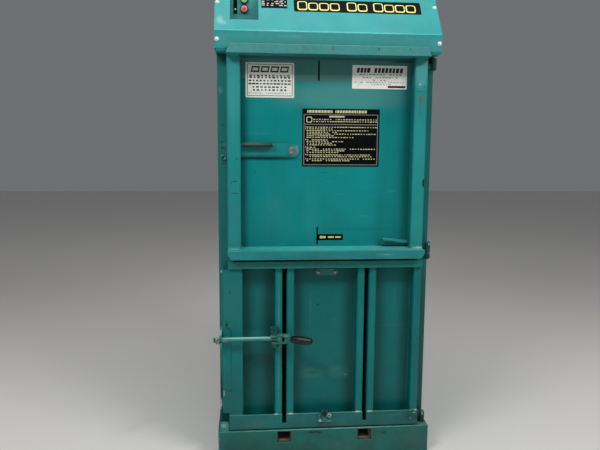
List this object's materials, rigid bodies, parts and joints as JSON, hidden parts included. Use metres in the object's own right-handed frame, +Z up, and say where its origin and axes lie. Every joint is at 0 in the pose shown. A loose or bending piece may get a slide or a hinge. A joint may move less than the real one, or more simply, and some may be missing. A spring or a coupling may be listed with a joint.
{
  "type": "recycling baler",
  "caption": "Small upright hydraulic baling press: chamber with feed door and strap-slotted bale door, over-centre tie rod latch, sloped hood with push buttons, vertical ram.",
  "frame": {"origin": "on the floor, in the middle of the line below the body's front edges", "axes": "+Z up, +X to the right of a person who faces the doors, +Y towards the back of the machine"},
  "size_m": [0.9298, 0.8847, 2.583],
  "materials": {
    "base_paint": "worn satin enamel, dark teal",
    "body_paint": "satin enamel, teal",
    "hood_paint": "satin enamel, light teal",
    "panel_paint": "satin enamel, teal",
    "door_paint": "satin enamel, teal",
    "trough_paint": "satin enamel, dark teal",
    "rod_paint": "enamel, light blue-green",
    "worn_steel": "bare, dull",
    "zinc": "zinc plated",
    "chrome": "hard chrome",
    "rusty": "rusty, dirty",
    "black_plastic": "black moulding",
    "red_plastic": "red push-button cap",
    "green_plastic": "green push-button cap",
    "nylon": "cast nylon",
    "rubber": "hydraulic hose",
    "bronze": "gland bronze",
    "machine_grey": "grey enamel",
    "motor_blue": "blue enamel",
    "cast": "bare casting",
    "block": "machined block"
  },
  "bodies": {
    "machine": {"base_frame": "base_paint", "strap_channels": "rusty", "floor_plate": "worn_steel", "left_side_wall": "body_paint", "right_side_wall": "body_paint", "back_wall": "body_paint", "back_strap_guides": "body_paint", "top_plate": "body_paint", "lintel": "body_paint", "guide_rails": "worn_steel", "latch_keeper": "body_paint", "keeper_bolt": "zinc", "hinge_leaves": "body_paint", "hinge_pins": "zinc", "hood": "hood_paint", "rear_cover": "hood_paint", "hood_bolts": "zinc", "control_pan": "body_paint", "button_bezels": "black_plastic", "electric_box": "machine_grey", "cylinder_barrel": "cast", "cylinder_gland": "bronze", "flange_bolts": "zinc", "cable_gland": "black_plastic", "motor": "motor_blue", "pump": "cast", "oil_tank": "machine_grey", "valve_block": "block", "hoses": "rubber"},
    "ram": {"platen": "worn_steel", "guide_shoes": "nylon", "piston_rod": "chrome", "piston": "cast", "rod_pin": "zinc"},
    "upper_door": {"upper_stiles": "door_paint", "upper_panel": "panel_paint", "upper_bottom_rail": "door_paint", "upper_top_strip": "door_paint", "upper_knuckles": "door_paint", "rest_bar": "door_paint", "latch_pivot_bolt": "zinc"},
    "upper_latch": {"latch_bar": "door_paint", "latch_grip": "worn_steel"},
    "lower_door": {"lower_post": "trough_paint", "left_trough": "trough_paint", "middle_trough": "trough_paint", "right_trough": "trough_paint", "lower_top_strip": "door_paint", "lower_bottom_rail": "trough_paint", "lower_knuckles": "door_paint", "lever_bracket": "door_paint", "pivot_pins": "zinc", "two_bolt_plate": "worn_steel", "hook_bracket": "worn_steel"},
    "lever_arm": {"lever": "rod_paint", "lever_grip": "black_plastic"},
    "rod": {"tie_rod": "rod_paint", "rod_nut": "zinc"},
    "start": {"start_button": "green_plastic"},
    "stop": {"stop_button": "red_plastic"}
  },
  "joints": [
    {"name": "upper_door_hinge", "type": "hinge", "parent": "machine", "child": "upper_door", "pos_m": [0.44, -0.0355, 1.285], "axis": [0, 0, 1], "range_deg": [0, 110]},
    {"name": "lower_door_hinge", "type": "hinge", "parent": "machine", "child": "lower_door", "pos_m": [0.44, -0.0355, 0.4915], "axis": [0, 0, 1], "range_deg": [0, 110]},
    {"name": "upper_latch_pivot", "type": "hinge", "parent": "upper_door", "child": "upper_latch", "pos_m": [-0.143, -0.022, 1.316], "axis": [0, 1, 0], "range_deg": [0, 14]},
    {"name": "lever_pivot", "type": "hinge", "parent": "lower_door", "child": "lever_arm", "pos_m": [-0.22, -0.1, 0.534], "axis": [0, 0, -1], "range_deg": [0, 110]},
    {"name": "rod_pivot", "type": "hinge", "parent": "lever_arm", "child": "rod", "pos_m": [-0.198, -0.097, 0.534], "axis": [0, 0, -1], "range_deg": [-125, 0]},
    {"name": "ram_slide", "type": "slide", "parent": "machine", "child": "ram", "axis": [0, 0, -1], "range_m": [0, 0.72]},
    {"name": "start_press", "type": "slide", "parent": "machine", "child": "start", "axis": [0, 1, 0], "range_m": [0, 0.005], "stiffness_N_per_m": 400},
    {"name": "stop_press", "type": "slide", "parent": "machine", "child": "stop", "axis": [0, 1, 0], "range_m": [0, 0.005], "stiffness_N_per_m": 400}
  ],
  "couplings": [
    {"joint": "rod_pivot", "follows": "lever_pivot", "ratio": -1.1}
  ]
}
